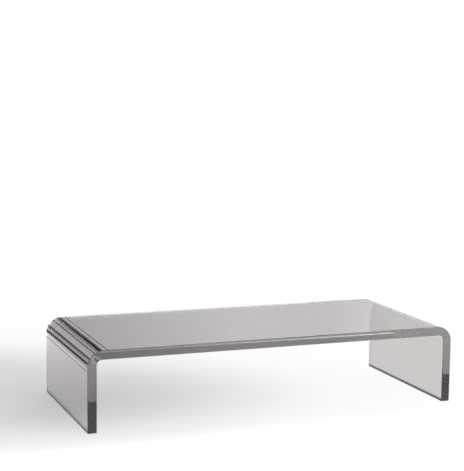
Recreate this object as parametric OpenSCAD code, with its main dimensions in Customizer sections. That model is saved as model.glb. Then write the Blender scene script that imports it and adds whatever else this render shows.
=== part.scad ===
// Monitor riser stand: one sheet of smoked clear acrylic, heat-bent twice into a bridge.
// It stands on a self-adhesive anti-slip strip under each leg.
//
// Frame: +X to the right along the width, +Y to the back, +Z up.
// The origin is the centre of the footprint, on the surface that the stand rests on.
// All lengths are in millimetres.

/* [Sheet] */
// Overall width, from the outside of one leg to the outside of the other
stand_w = 510; // [350:5:700]
// Depth, from the front edge to the back edge
stand_d = 220; // [150:5:350]
// Height of the bent sheet, from the cut end of a leg to the top of the deck
sheet_h = 103; // [70:1:160]
// Thickness of the sheet
sheet_t = 12; // [6:1:15]
// Inside radius of each bend
bend_r = 8; // [4:1:25]
// Width of the polished bevel along the front and back edges
edge_bevel = 0.6; // [0.2:0.1:1.5]

/* [Feet] */
// Thickness of the anti-slip strip under each leg
strip_t = 1; // [1:0.5:4]
// How far the strip stays inside the outline of the leg's end, which it all but covers
strip_inset = 0.2; // [0.2:0.2:2]
// Thickness of the adhesive film that holds the strip
adhesive_t = 0.2; // [0.1:0.1:0.5]

/* [Hidden] */
// Facets of the bends where the shape is only previewed
$fn = 96;
// Level of the cut end of each leg, on top of its strip and adhesive
foot_z = strip_t + adhesive_t;
// Level of the deck's top face
top_z = foot_z + sheet_h;
// Outside radius of each bend
outer_r = bend_r + sheet_t;
// Place of the right bend's axis, which runs front to back
bend_x = stand_w / 2 - outer_r;
bend_z = top_z - outer_r;
// Footprint of one strip, and the middle of a leg's thickness
strip_w = sheet_t - 2 * strip_inset;
strip_l = stand_d - 2 * strip_inset;
leg_mid_x = (stand_w - sheet_t) / 2;

LEFT = -1;
RIGHT = 1;

// Cross-section of the sheet: its thickness from the inner face (x = 0) to the outer face,
// and the stand's depth from front to back, with a bevel on all four long edges.
module sheet_section() {
    b = edge_bevel;
    t = sheet_t;
    y = stand_d / 2;
    polygon([
        [b, -y], [t - b, -y], [t, b - y], [t, y - b],
        [t - b, y], [b, y], [0, y - b], [0, b - y]
    ]);
}

// The right leg, upright from its cut end to where the bend starts
module leg() {
    translate([stand_w / 2 - sheet_t, 0, foot_z])
        linear_extrude(bend_z - foot_z)
            sheet_section();
}

// The quarter-turn bend between the right leg and the deck
module bend() {
    translate([bend_x, 0, bend_z])
        rotate([90, 0, 0])
            rotate_extrude(angle = 90)
                translate([bend_r, 0])
                    sheet_section();
}

// The flat deck between the two bends
module deck() {
    translate([bend_x, 0, top_z - sheet_t])
        rotate([0, -90, 0])
            linear_extrude(2 * bend_x)
                sheet_section();
}

// The whole bent sheet, which is one piece of acrylic
module riser_sheet() {
    color([0.52, 0.50, 0.50, 0.45])
        union() {
            deck();
            for (side = [0, 1])
                mirror([side, 0, 0]) {
                    leg();
                    bend();
                }
        }
}

// A flat strip of thickness t under the leg on the given side, with its underside at level z
module leg_strip(side, z, t) {
    translate([side * leg_mid_x - strip_w / 2, -strip_l / 2, z])
        cube([strip_w, strip_l, t]);
}

// The thin double-sided adhesive film between a leg's cut end and its strip
module strip_adhesive(side) {
    color([0.16, 0.15, 0.15])
        leg_strip(side, strip_t, adhesive_t);
}

// The dark anti-slip strip that the leg stands on
module foot_strip(side) {
    color([0.07, 0.07, 0.07])
        leg_strip(side, 0, strip_t);
}

riser_sheet();
strip_adhesive(LEFT);  // left_strip_adhesive
strip_adhesive(RIGHT);  // right_strip_adhesive
foot_strip(LEFT);  // left_foot_strip
foot_strip(RIGHT);  // right_foot_strip
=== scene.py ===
"""Looks of the monitor riser stand: a sheet of smoked clear acrylic bent into a bridge, on dark strips."""

import math

import bmesh
import bpy
from mathutils import Matrix, Vector


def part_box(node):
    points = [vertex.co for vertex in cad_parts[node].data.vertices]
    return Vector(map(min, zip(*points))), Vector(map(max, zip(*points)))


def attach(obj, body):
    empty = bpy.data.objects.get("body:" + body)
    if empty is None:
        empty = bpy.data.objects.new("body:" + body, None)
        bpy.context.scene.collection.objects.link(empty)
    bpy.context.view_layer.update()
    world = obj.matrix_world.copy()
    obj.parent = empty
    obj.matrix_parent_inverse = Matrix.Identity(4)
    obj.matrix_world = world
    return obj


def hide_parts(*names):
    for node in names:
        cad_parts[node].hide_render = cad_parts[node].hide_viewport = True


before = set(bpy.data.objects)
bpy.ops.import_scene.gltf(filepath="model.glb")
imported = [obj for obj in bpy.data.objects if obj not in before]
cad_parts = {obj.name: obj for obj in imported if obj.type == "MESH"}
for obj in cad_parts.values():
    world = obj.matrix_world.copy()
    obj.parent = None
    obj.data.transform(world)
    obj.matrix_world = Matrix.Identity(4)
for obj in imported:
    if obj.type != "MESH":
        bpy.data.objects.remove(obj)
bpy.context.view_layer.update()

# ---------------------------------------------------------------- sizes, in metres
SHEET_T = 0.012  # thickness of the acrylic
EDGE_R = 0.0012  # round of the polished long edges
EDGE_STEPS = 4  # facets in each of those rounds
CUT_R = 0.0004  # round of the cut ends of the legs
CUT_STEPS = 3
STRIP_R = 0.0003  # round of a strip's lower edges
STRIP_CORNER_R = 0.0006  # round of a strip's corners, seen from above
STRIP_STEPS = 4

# Each face of a bend: the half-length along the face within which it turns evenly, that of its whole turn,
# and the ripples that the heating leaves, each as waves in that half-length and slope in radians.
OUTER_BEND = {"even": 0.01528, "whole": 0.01782, "ripples": [(2.576, 0.0487)]}
INNER_BEND = {"even": 0.00111, "whole": 0.00849, "ripples": [(1.87, -0.110)]}
BEND_STEPS = 240
HEAT_REACH = 0.0245  # half-length of outer face that the heating has marked
SINK_AT = 0.0213  # where the outer face has sunk, at the edge of the heated strip
SINK_RUN = 0.0016  # length over which it sinks
SINK_DEPTH = 0.00022
SINK_BACK = 0.0040  # length over which it comes back, towards the bend

sheet_low, sheet_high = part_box("riser_sheet")
FOOT_Z = sheet_low.z
TOP_Z = sheet_high.z
HALF_W = sheet_high.x
HALF_D = sheet_high.y


# ---------------------------------------------------------------- shape helpers
def arc(steps, start, end):
    """Angles from start to end, in degrees, both ends included, as radians."""
    return [math.radians(start + (end - start) * i / steps) for i in range(steps + 1)]


def edge_round(radius, steps):
    """The round from a flat end out to a side: how far up from the end, and how far in from the side."""
    return [(radius * (1 - math.cos(a)), radius * (1 - math.sin(a))) for a in arc(steps, 0, 90)]


def round_rectangle(low, high, radius, steps):
    """Points of a rectangle with rounded corners, anticlockwise."""
    corners = [
        (high[0] - radius, high[1] - radius, 0),
        (low[0] + radius, high[1] - radius, 90),
        (low[0] + radius, low[1] + radius, 180),
        (high[0] - radius, low[1] + radius, 270),
    ]
    return [
        (cx + radius * math.cos(a), cy + radius * math.sin(a))
        for cx, cy, turn in corners
        for a in arc(steps, turn, turn + 90)
    ]


def loft(name, rings, cap_slots=(0, 0)):
    """A closed mesh through rings of equal length, with flat caps in the given material slots."""
    bm = bmesh.new()
    loops = [[bm.verts.new(p) for p in ring] for ring in rings]
    count = len(rings[0])
    for a, b in zip(loops, loops[1:]):
        for i in range(count):
            j = (i + 1) % count
            bm.faces.new((a[i], a[j], b[j], b[i]))
    first = bm.faces.new(list(reversed(loops[0])))
    last = bm.faces.new(loops[-1])
    first.material_index, last.material_index = cap_slots
    bmesh.ops.recalc_face_normals(bm, faces=bm.faces)
    for f in bm.faces:
        f.smooth = f not in (first, last)
    mesh = bpy.data.meshes.new(name)
    bm.to_mesh(mesh)
    bm.free()
    piece = bpy.data.objects.new(name, mesh)
    bpy.context.scene.collection.objects.link(piece)
    flats = piece.modifiers.new("flat faces stay flat", "WEIGHTED_NORMAL")
    flats.mode = "FACE_AREA"
    return piece


# ---------------------------------------------------------------- the bent sheet
def ease(part):
    """A smooth step from 0 to 1 as part goes from 0 to 1."""
    part = min(1.0, max(0.0, part))
    return part * part * (3 - 2 * part)


def sink(place):
    """How far the outer face lies below its true surface, at a distance from the middle of the bend."""
    start = SINK_AT + SINK_RUN / 2
    end = SINK_AT - SINK_RUN / 2 - SINK_BACK
    return SINK_DEPTH * ease((start - abs(place)) / SINK_RUN) * ease((abs(place) - end) / SINK_BACK)


def bend_curve(reach, even, whole, ripples, depth=None):
    """Points of a quarter turn of one face, from straight up to level, starting at (0, 0).

    reach is half the curve's length, and depth gives how far the face has sunk at a distance from its
    middle. The others are as in OUTER_BEND."""
    step = 2 * reach / BEND_STEPS
    places = [step * (i + 0.5) - reach for i in range(BEND_STEPS)]
    fade = [min(1.0, max(0.0, abs(place) - even) / (whole - even)) for place in places]
    turns = [0.5 + 0.5 * math.cos(math.pi * part) for part in fade]
    share = math.pi / 2 / sum(turns)
    x = z = angle = 0.0
    points = []
    for place, turn in zip(places, turns):
        inside = 0.5 + 0.5 * math.cos(math.pi * min(1.0, abs(place) / whole))
        slope = sum(size * math.sin(2 * math.pi * waves * place / whole) for waves, size in ripples)
        heading = angle + share * turn / 2 + slope * inside
        low = depth(place - step / 2) if depth else 0.0
        points.append((x + low * math.cos(heading), z - low * math.sin(heading)))
        x += step * math.sin(heading)
        z += step * math.cos(heading)
        angle += share * turn
    points.append((x, z))
    return points


def sheet_stations():
    """Stations along the sheet, from the left foot to the right foot.

    Each is a point (x, z) on the inner face, one on the outer face, and how far the section is drawn in."""
    outer = bend_curve(HEAT_REACH, **OUTER_BEND, depth=sink)
    inner_whole = INNER_BEND["whole"]
    shortfall = outer[-1][1] - SHEET_T - bend_curve(inner_whole, **INNER_BEND)[-1][1]
    inner = bend_curve(inner_whole + shortfall, **INNER_BEND)
    outer = [(x - HALF_W, z - outer[-1][1] + TOP_Z) for x, z in outer]
    inner = [(x - HALF_W + SHEET_T, z - inner[-1][1] + TOP_Z - SHEET_T) for x, z in inner]
    left = [
        ((SHEET_T - HALF_W, FOOT_Z + rise), (-HALF_W, FOOT_Z + rise), draw)
        for rise, draw in edge_round(CUT_R, CUT_STEPS)
    ]
    left += [(a, b, 0.0) for a, b in zip(inner, outer)]
    right = [((-a[0], a[1]), (-b[0], b[1]), draw) for a, b, draw in reversed(left)]
    return left + right


def riser_sheet():
    """The bent sheet: its section with round edges, swept from one foot to the other."""
    rings = []
    for (x, z), (outer_x, outer_z), draw in sheet_stations():
        thick = math.hypot(outer_x - x, outer_z - z)
        nx, nz = (outer_x - x) / thick, (outer_z - z) / thick
        outline = round_rectangle(
            (draw, draw - HALF_D), (thick - draw, HALF_D - draw), EDGE_R - draw, EDGE_STEPS
        )
        rings.append([(x + s * nx, y, z + s * nz) for s, y in outline])
    return loft("smoked_acrylic_sheet", rings, cap_slots=(1, 1))


# ---------------------------------------------------------------- the foot strips
def foot_strip(node, name):
    """A strip with rounded lower edges and a square upper face against the adhesive."""
    low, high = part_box(node)
    rings = []
    for rise, draw in edge_round(STRIP_R, STRIP_STEPS) + [(high.z - low.z, 0.0)]:
        outline = round_rectangle(
            (low.x + draw, low.y + draw), (high.x - draw, high.y - draw), STRIP_CORNER_R - draw, STRIP_STEPS
        )
        rings.append([(x, y, low.z + rise) for x, y in outline])
    return loft(name, rings)


# ---------------------------------------------------------------- node helpers
def node_material(name):
    material = bpy.data.materials.new(name)
    material.use_nodes = True
    nodes = material.node_tree.nodes
    return material, nodes, material.node_tree.links, nodes["Principled BSDF"]


def grey(value):
    return (value, value, value, 1)


def noise(nodes, links, scale, detail):
    """A noise texture in the object's own coordinates, with scale in cycles a metre."""
    where = nodes.new("ShaderNodeTexCoord")
    texture = nodes.new("ShaderNodeTexNoise")
    texture.inputs["Scale"].default_value = scale
    texture.inputs["Detail"].default_value = detail
    links.new(where.outputs["Object"], texture.inputs["Vector"])
    return texture.outputs["Fac"]


def remap(nodes, links, value, low, high, out_low, out_high, manner="LINEAR"):
    """A value that goes from out_low to out_high as the given one goes from low to high."""
    step = nodes.new("ShaderNodeMapRange")
    step.interpolation_type = manner
    step.inputs["From Min"].default_value = low
    step.inputs["From Max"].default_value = high
    step.inputs["To Min"].default_value = out_low
    step.inputs["To Max"].default_value = out_high
    links.new(value, step.inputs["Value"])
    return step.outputs["Result"]


def ramp(nodes, links, value, stops, manner="LINEAR"):
    """A colour that follows a value through stops, each a place and a colour."""
    node = nodes.new("ShaderNodeValToRGB")
    node.color_ramp.interpolation = manner
    elements = node.color_ramp.elements
    while len(elements) < len(stops):
        elements.new(0.5)
    for element, (place, colour) in zip(elements, stops):
        element.position = place
        element.color = colour
    links.new(value, node.inputs["Fac"])
    return node.outputs["Color"]


# ---------------------------------------------------------------- materials
ACRYLIC_IOR = 1.49
ACRYLIC_TINT = (0.62, 0.588, 0.582, 1)  # colour that light takes on at the faces
SMOKE_COLOUR = (0.545, 0.537, 0.533, 1)  # colour that the inside lets through
SMOKE_DENSITY = 10.0
SMUDGES = (14.0, 5.0)  # scale and detail
SMUDGE_FROM_TO = (0.45, 0.75)  # noise at which the polish starts to dull, and at which it is dullest
SMUDGE_ROUGHNESS = 0.05

FILM_DARK = (0.16, 0.155, 0.155, 1)
FILM_LIGHT = (0.22, 0.213, 0.213, 1)
FILM_FLECKS = (900.0, 3.0)  # scale and detail
FILM_ROUGHNESS = 0.6
FILM_PAINTED_GLOW = (1.0, 0.97, 0.96, 1)  # painted glow: light that the film gives off itself, standing in for light that the clear sheet pipes down to it
# strength of the film's painted glow
FILM_PAINTED_GLOW_STRENGTH = 0.04

RUBBER_DARK = (0.045, 0.044, 0.044, 1)
RUBBER_LIGHT = (0.095, 0.092, 0.092, 1)
RUBBER_GRAIN = (1400.0, 4.0)  # scale and detail
GRAIN_FROM_TO = (0.3, 0.7)  # noise at which the rubber is least rough, and most rough
RUBBER_ROUGHNESS = (0.62, 0.85)
GRAIN_HEIGHT = 0.0002  # in metres
GRAIN_STRENGTH = 0.6


def smoked_acrylic():
    """Clear cast acrylic with a smoke tint, polished, with faint smudges."""
    material, nodes, links, shader = node_material("smoked acrylic")
    shader.inputs["Base Color"].default_value = ACRYLIC_TINT
    shader.inputs["IOR"].default_value = ACRYLIC_IOR
    shader.inputs["Transmission Weight"].default_value = 1.0
    smudge = noise(nodes, links, *SMUDGES)
    dulled = remap(nodes, links, smudge, *SMUDGE_FROM_TO, 0.0, SMUDGE_ROUGHNESS)
    links.new(dulled, shader.inputs["Roughness"])
    smoke = nodes.new("ShaderNodeVolumeAbsorption")
    smoke.inputs["Color"].default_value = SMOKE_COLOUR
    smoke.inputs["Density"].default_value = SMOKE_DENSITY
    links.new(smoke.outputs["Volume"], nodes["Material Output"].inputs["Volume"])
    return material


def bonded_film():
    """The dark adhesive, as it shows through the cut end of a leg, with a faint painted glow standing in for
    light that reaches it.
    """
    material, nodes, links, shader = node_material("bonded adhesive")
    fleck = noise(nodes, links, *FILM_FLECKS)
    colour = ramp(nodes, links, fleck, [(0.0, FILM_DARK), (1.0, FILM_LIGHT)])
    links.new(colour, shader.inputs["Base Color"])
    # painted light: the film glows faintly though it is no lamp
    shader.inputs["Emission Color"].default_value = FILM_PAINTED_GLOW
    shader.inputs["Emission Strength"].default_value = FILM_PAINTED_GLOW_STRENGTH
    shader.inputs["Roughness"].default_value = FILM_ROUGHNESS
    return material


def strip_rubber():
    """Dark matt rubber with a fine grain."""
    material, nodes, links, shader = node_material("anti-slip rubber")
    grain = noise(nodes, links, *RUBBER_GRAIN)
    colour = ramp(nodes, links, grain, [(0.0, RUBBER_DARK), (1.0, RUBBER_LIGHT)])
    links.new(colour, shader.inputs["Base Color"])
    rough = remap(nodes, links, grain, *GRAIN_FROM_TO, *RUBBER_ROUGHNESS)
    links.new(rough, shader.inputs["Roughness"])
    bump = nodes.new("ShaderNodeBump")
    bump.inputs["Distance"].default_value = GRAIN_HEIGHT
    bump.inputs["Strength"].default_value = GRAIN_STRENGTH
    links.new(grain, bump.inputs["Height"])
    links.new(bump.outputs["Normal"], shader.inputs["Normal"])
    return material


# ---------------------------------------------------------------- the object
acrylic = smoked_acrylic()
bonded = bonded_film()
rubber = strip_rubber()

sheet = riser_sheet()
sheet.data.materials.append(acrylic)
sheet.data.materials.append(bonded)
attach(sheet, "root")
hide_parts("riser_sheet")

for side in ("left", "right"):
    strip = foot_strip(f"{side}_foot_strip", f"{side}_rubber_strip")
    strip.data.materials.append(rubber)
    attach(strip, "root")
    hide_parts(f"{side}_foot_strip")
    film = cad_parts[f"{side}_strip_adhesive"]
    film.data.materials.clear()
    film.data.materials.append(bonded)

# ---------------------------------------------------------------- camera
CAMERA_AT = Vector((-0.6677, -1.6603, 0.4684))
CAMERA_TURN = 21.17  # degrees to the right of straight ahead
CAMERA_DOWN = 7.80
CAMERA_ROLL = 0.75
LENS_MM = 101.74
SENSOR_MM = 36.0

camera = bpy.data.objects.new("camera", bpy.data.cameras.new("camera"))
camera.data.lens = LENS_MM
camera.data.sensor_width = SENSOR_MM
camera.matrix_world = (
    Matrix.Translation(CAMERA_AT)
    @ Matrix.Rotation(math.radians(-CAMERA_TURN), 4, "Z")
    @ Matrix.Rotation(math.radians(90 - CAMERA_DOWN), 4, "X")
    @ Matrix.Rotation(math.radians(CAMERA_ROLL), 4, "Z")
)
bpy.context.scene.collection.objects.link(camera)
bpy.context.scene.camera = camera

# ---------------------------------------------------------------- the floor
# The floor is a disc that ends behind the stand on the left, so that the bend mirrors the dark flag there.
FLOOR_AT = (0.0, -1.0)  # its centre, in metres
FLOOR_R = 1.68
FLOOR_SEGMENTS = 192
FLOOR_GREY = 0.25
FLOOR_GLOW = 0.44  # light that the floor gives off itself, so that its shadows stay pale
FLOOR_ROUGHNESS = 0.6
PAINTED_SHADE_AT = (-0.39, 0.16)  # centre of the painted shade on the floor, a grey patch that no light casts, in metres
PAINTED_SHADE_SIZE = (1.4, 0.85)  # its shape: the radii below are multiplied by these
PAINTED_SHADE_TURN = -21  # degrees that it is turned, anticlockwise from above
WHITENING = [(0.14, 0.0), (0.42, 0.90), (0.55, 1.0)]  # (radius in metres, share of plain white), over which the painted shade fades into white
FRONT_GLARE = 2.4  # how many times white the floor is well in front of the stand: painted light, the floor glowing brighter than white there
FRONT_FROM_TO = (-0.46, -0.11)  # y at which it has all of that and at which it has none, in metres


def distance(nodes, links, centre, sizes, turn):
    """Distance from a point of the floor, in half-widths of an ellipse round it."""
    where = nodes.new("ShaderNodeTexCoord")
    mapping = nodes.new("ShaderNodeMapping")
    mapping.vector_type = "TEXTURE"
    mapping.inputs["Location"].default_value = (*centre, 0)
    mapping.inputs["Rotation"].default_value = (0, 0, math.radians(turn))
    mapping.inputs["Scale"].default_value = (*sizes, 1)
    links.new(where.outputs["Object"], mapping.inputs["Vector"])
    length = nodes.new("ShaderNodeVectorMath")
    length.operation = "LENGTH"
    links.new(mapping.outputs["Vector"], length.inputs[0])
    return length.outputs["Value"]


def pale_desk():
    """A pale grey with painted shade round the stand that turns into plain white, brighter still in front of
    it, where the floor glows as painted light.
    """
    material, nodes, links, shader = node_material("pale desk")
    shader.inputs["Base Color"].default_value = grey(FLOOR_GREY)
    shader.inputs["Roughness"].default_value = FLOOR_ROUGHNESS
    shader.inputs["Emission Color"].default_value = grey(1)
    shader.inputs["Emission Strength"].default_value = FLOOR_GLOW
    reach = WHITENING[-1][0]
    # painted shade: a grey patch round the stand, fading into white, that no light casts
    painted_shade = distance(nodes, links, PAINTED_SHADE_AT, [reach * size for size in PAINTED_SHADE_SIZE], PAINTED_SHADE_TURN)
    fade = ramp(nodes, links, painted_shade, [(radius / reach, grey(share)) for radius, share in WHITENING], "EASE")
    where = nodes.new("ShaderNodeTexCoord")
    split = nodes.new("ShaderNodeSeparateXYZ")
    links.new(where.outputs["Object"], split.inputs["Vector"])
    white = nodes.new("ShaderNodeEmission")
    # painted light: the floor in front glows up to FRONT_GLARE times white
    glare = remap(nodes, links, split.outputs["Y"], *FRONT_FROM_TO, FRONT_GLARE, 1.0, "SMOOTHSTEP")
    links.new(glare, white.inputs["Strength"])
    blend = nodes.new("ShaderNodeMixShader")
    links.new(fade, blend.inputs[0])
    links.new(shader.outputs[0], blend.inputs[1])
    links.new(white.outputs[0], blend.inputs[2])
    links.new(blend.outputs[0], nodes["Material Output"].inputs["Surface"])
    return material


def floor():
    mesh = bpy.data.meshes.new("floor")
    bm = bmesh.new()
    place = Matrix.Translation((*FLOOR_AT, 0))
    bmesh.ops.create_circle(bm, cap_ends=True, segments=FLOOR_SEGMENTS, radius=FLOOR_R, matrix=place)
    bm.to_mesh(mesh)
    bm.free()
    mesh.materials.append(pale_desk())
    plane = bpy.data.objects.new("floor", mesh)
    bpy.context.scene.collection.objects.link(plane)


# ---------------------------------------------------------------- the light
SOFTBOX_AT = Vector((1.1, -0.9, 1.4))  # it is aimed at the middle of the stand's footprint
SOFTBOX_SIDE = 1.3
SOFTBOX_WATTS = 19

# The studio round the stand, by the direction in which it lies: x to the right, y to the back and z up,
# each as a part of a direction of length 1.
HORIZON_TOP = 0.12  # z up to which the studio is white
WALL_FROM_TO = (0.17, 0.33)  # z between which it has the wall's grey
CEILING_FROM = 0.5
CEILING_GREY = 0.9
WALL_LEFT = 0.06  # the wall's greys
WALL_RIGHT = 0.62
WALL_TURNS = (0.18, 0.36)  # x between which the one turns into the other
FLAG_FROM = (-0.50, -0.44)  # x at which the dark flag fades in
FLAG_TO = (-0.22, -0.19)  # x at which it fades out again
FLAG_GREY = 0.06
BRIGHT_RIGHT = (0.42, 0.47)  # x at which the studio gets brighter
BRIGHT_BACK = (0.2, 0.6)  # y at which it does, so that only its back right part is brighter
BRIGHT = 0.45  # how much brighter it gets
LIGHT_BOUNCES = 48


def softbox():
    light = bpy.data.lights.new("right softbox", "AREA")
    light.shape = "RECTANGLE"
    light.size = light.size_y = SOFTBOX_SIDE
    light.energy = SOFTBOX_WATTS
    lamp = bpy.data.objects.new("right softbox", light)
    lamp.location = SOFTBOX_AT
    lamp.rotation_euler = (-SOFTBOX_AT).to_track_quat("-Z", "Y").to_euler()
    bpy.context.scene.collection.objects.link(lamp)


def studio_greys(wall):
    """The greys of the studio from the horizon up, as stops of a ramp, for the given grey of the wall."""
    wall_from, wall_to = WALL_FROM_TO
    greys = [
        (0.0, 1.0), (HORIZON_TOP, 1.0), (wall_from, wall), (wall_to, wall),
        (CEILING_FROM, CEILING_GREY), (1.0, CEILING_GREY),
    ]
    return [(height, grey(value)) for height, value in greys]


def maths(nodes, links, operation, values):
    """The result of a Math node on values that are sockets or plain numbers."""
    node = nodes.new("ShaderNodeMath")
    node.operation = operation
    for value, socket in zip(values, node.inputs):
        if isinstance(value, float):
            socket.default_value = value
        else:
            links.new(value, socket)
    return node.outputs["Value"]


def studio_world():
    """White round the horizon, a grey wall above it and a pale ceiling, with the flag and the bright part."""
    world = bpy.data.worlds.new("studio")
    world.use_nodes = True
    nodes, links = world.node_tree.nodes, world.node_tree.links
    where = nodes.new("ShaderNodeTexCoord")
    split = nodes.new("ShaderNodeSeparateXYZ")
    links.new(where.outputs["Generated"], split.inputs["Vector"])
    x, y, z = (split.outputs[axis] for axis in "XYZ")

    room = nodes.new("ShaderNodeMixRGB")
    links.new(remap(nodes, links, x, *WALL_TURNS, 0.0, 1.0), room.inputs["Fac"])
    links.new(ramp(nodes, links, z, studio_greys(WALL_LEFT), "EASE"), room.inputs["Color1"])
    links.new(ramp(nodes, links, z, studio_greys(WALL_RIGHT), "EASE"), room.inputs["Color2"])

    fade_in = remap(nodes, links, x, *FLAG_FROM, 0.0, 1.0)
    fade_out = remap(nodes, links, x, *FLAG_TO, 1.0, 0.0)
    flagged = nodes.new("ShaderNodeMixRGB")
    links.new(maths(nodes, links, "MULTIPLY", [fade_in, fade_out]), flagged.inputs["Fac"])
    links.new(room.outputs["Color"], flagged.inputs["Color1"])
    flagged.inputs["Color2"].default_value = grey(FLAG_GREY)
    links.new(flagged.outputs["Color"], nodes["Background"].inputs["Color"])

    to_right = remap(nodes, links, x, *BRIGHT_RIGHT, 0.0, BRIGHT)
    to_back = remap(nodes, links, y, *BRIGHT_BACK, 0.0, 1.0)
    strength = maths(nodes, links, "MULTIPLY_ADD", [to_right, to_back, 1.0])
    links.new(strength, nodes["Background"].inputs["Strength"])
    bpy.context.scene.world = world


floor()
softbox()
studio_world()
bpy.context.scene.view_settings.view_transform = "Standard"
for limit in ("max_bounces", "glossy_bounces", "transmission_bounces"):
    setattr(bpy.context.scene.cycles, limit, LIGHT_BOUNCES)
